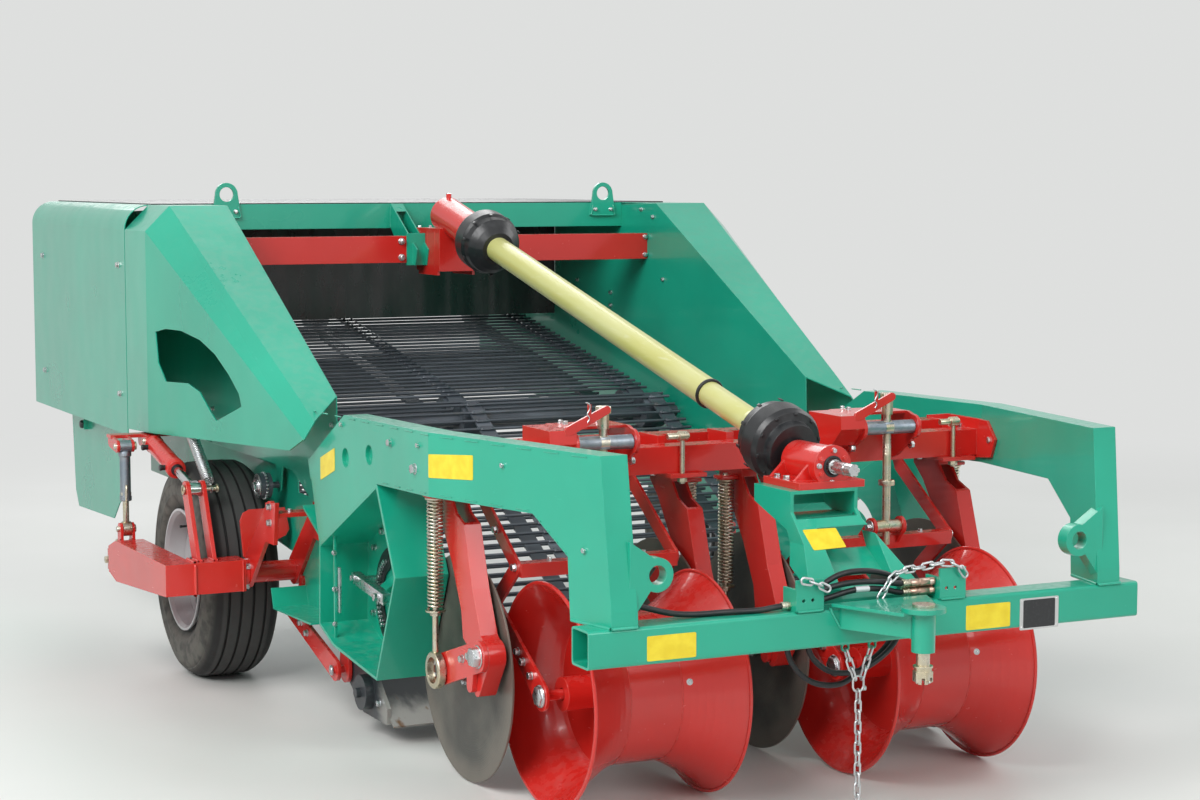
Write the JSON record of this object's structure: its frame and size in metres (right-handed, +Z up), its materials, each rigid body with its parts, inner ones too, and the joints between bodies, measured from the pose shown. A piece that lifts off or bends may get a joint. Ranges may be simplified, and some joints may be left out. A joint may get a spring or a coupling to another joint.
{
  "type": "two-row trailed potato digger",
  "caption": "Trailed two-row potato digger: portal drawbar frame, ridge rollers and sprung discs ahead of a rod web under hoods, two tyres on adjustable arms.",
  "frame": {"origin": "on the floor under the middle of the machine's box", "axes": "+X across to the machine's left seen from behind the hitch, +Y from the hitch to the rear, +Z up"},
  "size_m": [2.63, 5.018, 1.7289],
  "materials": {
    "green_paint": "gloss enamel",
    "red_paint": "gloss enamel",
    "black_steel": "satin black enamel on rolled steel",
    "black_plastic": "moulded, satin",
    "lemon_plastic": "moulded tube, slightly translucent",
    "passivated_steel": "yellow passivated",
    "zinc": "bright zinc",
    "rim_paint": "silver white enamel",
    "tyre_rubber": "ribbed implement tread",
    "black_sheet": "smooth black sheet",
    "hose_rubber": "braided hydraulic hose cover"
  },
  "bodies": {
    "frame": {"cross_tube": "green_paint", "side_beams": "green_paint", "hex_boxes": "green_paint", "hitch_nose": "green_paint", "hitch_pin": "passivated_steel", "hose_brackets": "green_paint", "hose_ends": "passivated_steel", "hose_feed": "hose_rubber", "hose_top": "hose_rubber", "hose_upper": "hose_rubber", "hose_low": "hose_rubber", "hose_inner": "hose_rubber", "hose_outer": "hose_rubber", "chains": "zinc", "pto_pedestal": "green_paint", "bearing_housing": "red_paint", "shaft_guard": "lemon_plastic", "guard_bells": "black_plastic", "gearbox": "red_paint", "top_beam": "green_paint", "gearbox_bars": "red_paint", "side_walls": "green_paint", "hoods": "green_paint", "rear_covers": "green_paint", "lower_covers": "green_paint", "roof_sheet": "black_sheet", "curtain": "black_sheet", "front_web": "black_steel", "rear_web": "black_steel", "web_rollers": "black_steel", "share": "black_steel", "share_links": "red_paint", "row_frame": "red_paint", "disc_legs": "red_paint", "disc_springs": "passivated_steel", "roller_forks": "red_paint", "depth_spindles": "passivated_steel", "arm_brackets": "red_paint"},
    "arm_left": {"wheel_arm_left": "red_paint"},
    "wheel_left": {"tyre_left": "tyre_rubber", "rim_left": "rim_paint"},
    "roller_left": {"roller_left": "red_paint"},
    "barrel_left": {"barrel_left": "red_paint"},
    "rod_left": {"rod_left": "zinc"},
    "stay_sleeve_left": {"stay_sleeve_left": "zinc"},
    "stay_rod_left": {"stay_rod_left": "zinc"},
    "arm_right": {"wheel_arm_right": "red_paint"},
    "wheel_right": {"tyre_right": "tyre_rubber", "rim_right": "rim_paint"},
    "roller_right": {"roller_right": "red_paint"},
    "barrel_right": {"barrel_right": "red_paint"},
    "rod_right": {"rod_right": "zinc"},
    "stay_sleeve_right": {"stay_sleeve_right": "zinc"},
    "stay_rod_right": {"stay_rod_right": "zinc"},
    "disc_1": {"disc_1": "black_steel"},
    "disc_2": {"disc_2": "black_steel"},
    "disc_3": {"disc_3": "black_steel"},
    "disc_4": {"disc_4": "black_steel"},
    "input_shaft": {"input_shaft": "passivated_steel"}
  },
  "joints": [
    {"name": "arm_left_swing", "type": "hinge", "parent": "frame", "child": "arm_left", "pos_m": [-0.93, 0.074, 0.425], "axis": [1, 0, 0], "range_deg": [-8, 6]},
    {"name": "wheel_left_spin", "type": "hinge", "parent": "arm_left", "child": "wheel_left", "pos_m": [-1, 0.51, 0.379], "axis": [1, 0, 0], "continuous": true},
    {"name": "roller_left_spin", "type": "hinge", "parent": "frame", "child": "roller_left", "pos_m": [-0.476, -1.661, 0.319], "axis": [1, 0, 0], "continuous": true},
    {"name": "barrel_left_swing", "type": "hinge", "parent": "frame", "child": "barrel_left", "pos_m": [-1.16, 0.739, 0.812], "axis": [1, 0, 0], "range_deg": [-6, 6]},
    {"name": "rod_left_slide", "type": "slide", "parent": "barrel_left", "child": "rod_left", "axis": [0, -0.9784, -0.2068], "range_m": [-0.04, 0.04]},
    {"name": "stay_sleeve_left_swing", "type": "hinge", "parent": "frame", "child": "stay_sleeve_left", "pos_m": [-1.262, 0.719, 0.8], "axis": [1, 0, 0], "range_deg": [-6, 6]},
    {"name": "stay_rod_left_slide", "type": "slide", "parent": "stay_sleeve_left", "child": "stay_rod_left", "axis": [0, -0.0068, -1], "range_m": [-0.11, 0.11]},
    {"name": "arm_right_swing", "type": "hinge", "parent": "frame", "child": "arm_right", "pos_m": [0.93, 0.074, 0.425], "axis": [1, 0, 0], "range_deg": [-8, 6]},
    {"name": "wheel_right_spin", "type": "hinge", "parent": "arm_right", "child": "wheel_right", "pos_m": [1, 0.51, 0.379], "axis": [1, 0, 0], "continuous": true},
    {"name": "roller_right_spin", "type": "hinge", "parent": "frame", "child": "roller_right", "pos_m": [0.476, -1.661, 0.319], "axis": [1, 0, 0], "continuous": true},
    {"name": "barrel_right_swing", "type": "hinge", "parent": "frame", "child": "barrel_right", "pos_m": [1.16, 0.739, 0.812], "axis": [1, 0, 0], "range_deg": [-6, 6]},
    {"name": "rod_right_slide", "type": "slide", "parent": "barrel_right", "child": "rod_right", "axis": [0, -0.9784, -0.2068], "range_m": [-0.04, 0.04]},
    {"name": "stay_sleeve_right_swing", "type": "hinge", "parent": "frame", "child": "stay_sleeve_right", "pos_m": [1.262, 0.719, 0.8], "axis": [1, 0, 0], "range_deg": [-6, 6]},
    {"name": "stay_rod_right_slide", "type": "slide", "parent": "stay_sleeve_right", "child": "stay_rod_right", "axis": [0, -0.0068, -1], "range_m": [-0.11, 0.11]},
    {"name": "disc_1_spin", "type": "hinge", "parent": "frame", "child": "disc_1", "pos_m": [-0.791, -1.279, 0.336], "axis": [1, 0, 0], "continuous": true},
    {"name": "disc_2_spin", "type": "hinge", "parent": "frame", "child": "disc_2", "pos_m": [-0.161, -1.279, 0.336], "axis": [1, 0, 0], "continuous": true},
    {"name": "disc_3_spin", "type": "hinge", "parent": "frame", "child": "disc_3", "pos_m": [0.161, -1.279, 0.336], "axis": [1, 0, 0], "continuous": true},
    {"name": "disc_4_spin", "type": "hinge", "parent": "frame", "child": "disc_4", "pos_m": [0.791, -1.279, 0.336], "axis": [1, 0, 0], "continuous": true},
    {"name": "input_spin", "type": "hinge", "parent": "frame", "child": "input_shaft", "pos_m": [0, -1.911, 0.958], "axis": [0, 1, 0], "continuous": true}
  ],
  "couplings": [
    {"joint": "barrel_left_swing", "follows": "arm_left_swing", "ratio": -0.35808},
    {"joint": "rod_left_slide", "follows": "arm_left_swing", "m_per_rad": 0.23344},
    {"joint": "stay_sleeve_left_swing", "follows": "arm_left_swing", "ratio": -0.22606},
    {"joint": "stay_rod_left_slide", "follows": "arm_left_swing", "m_per_rad": -0.63464},
    {"joint": "barrel_right_swing", "follows": "arm_right_swing", "ratio": -0.35808},
    {"joint": "rod_right_slide", "follows": "arm_right_swing", "m_per_rad": 0.23344},
    {"joint": "stay_sleeve_right_swing", "follows": "arm_right_swing", "ratio": -0.22606},
    {"joint": "stay_rod_right_slide", "follows": "arm_right_swing", "m_per_rad": -0.63464}
  ]
}
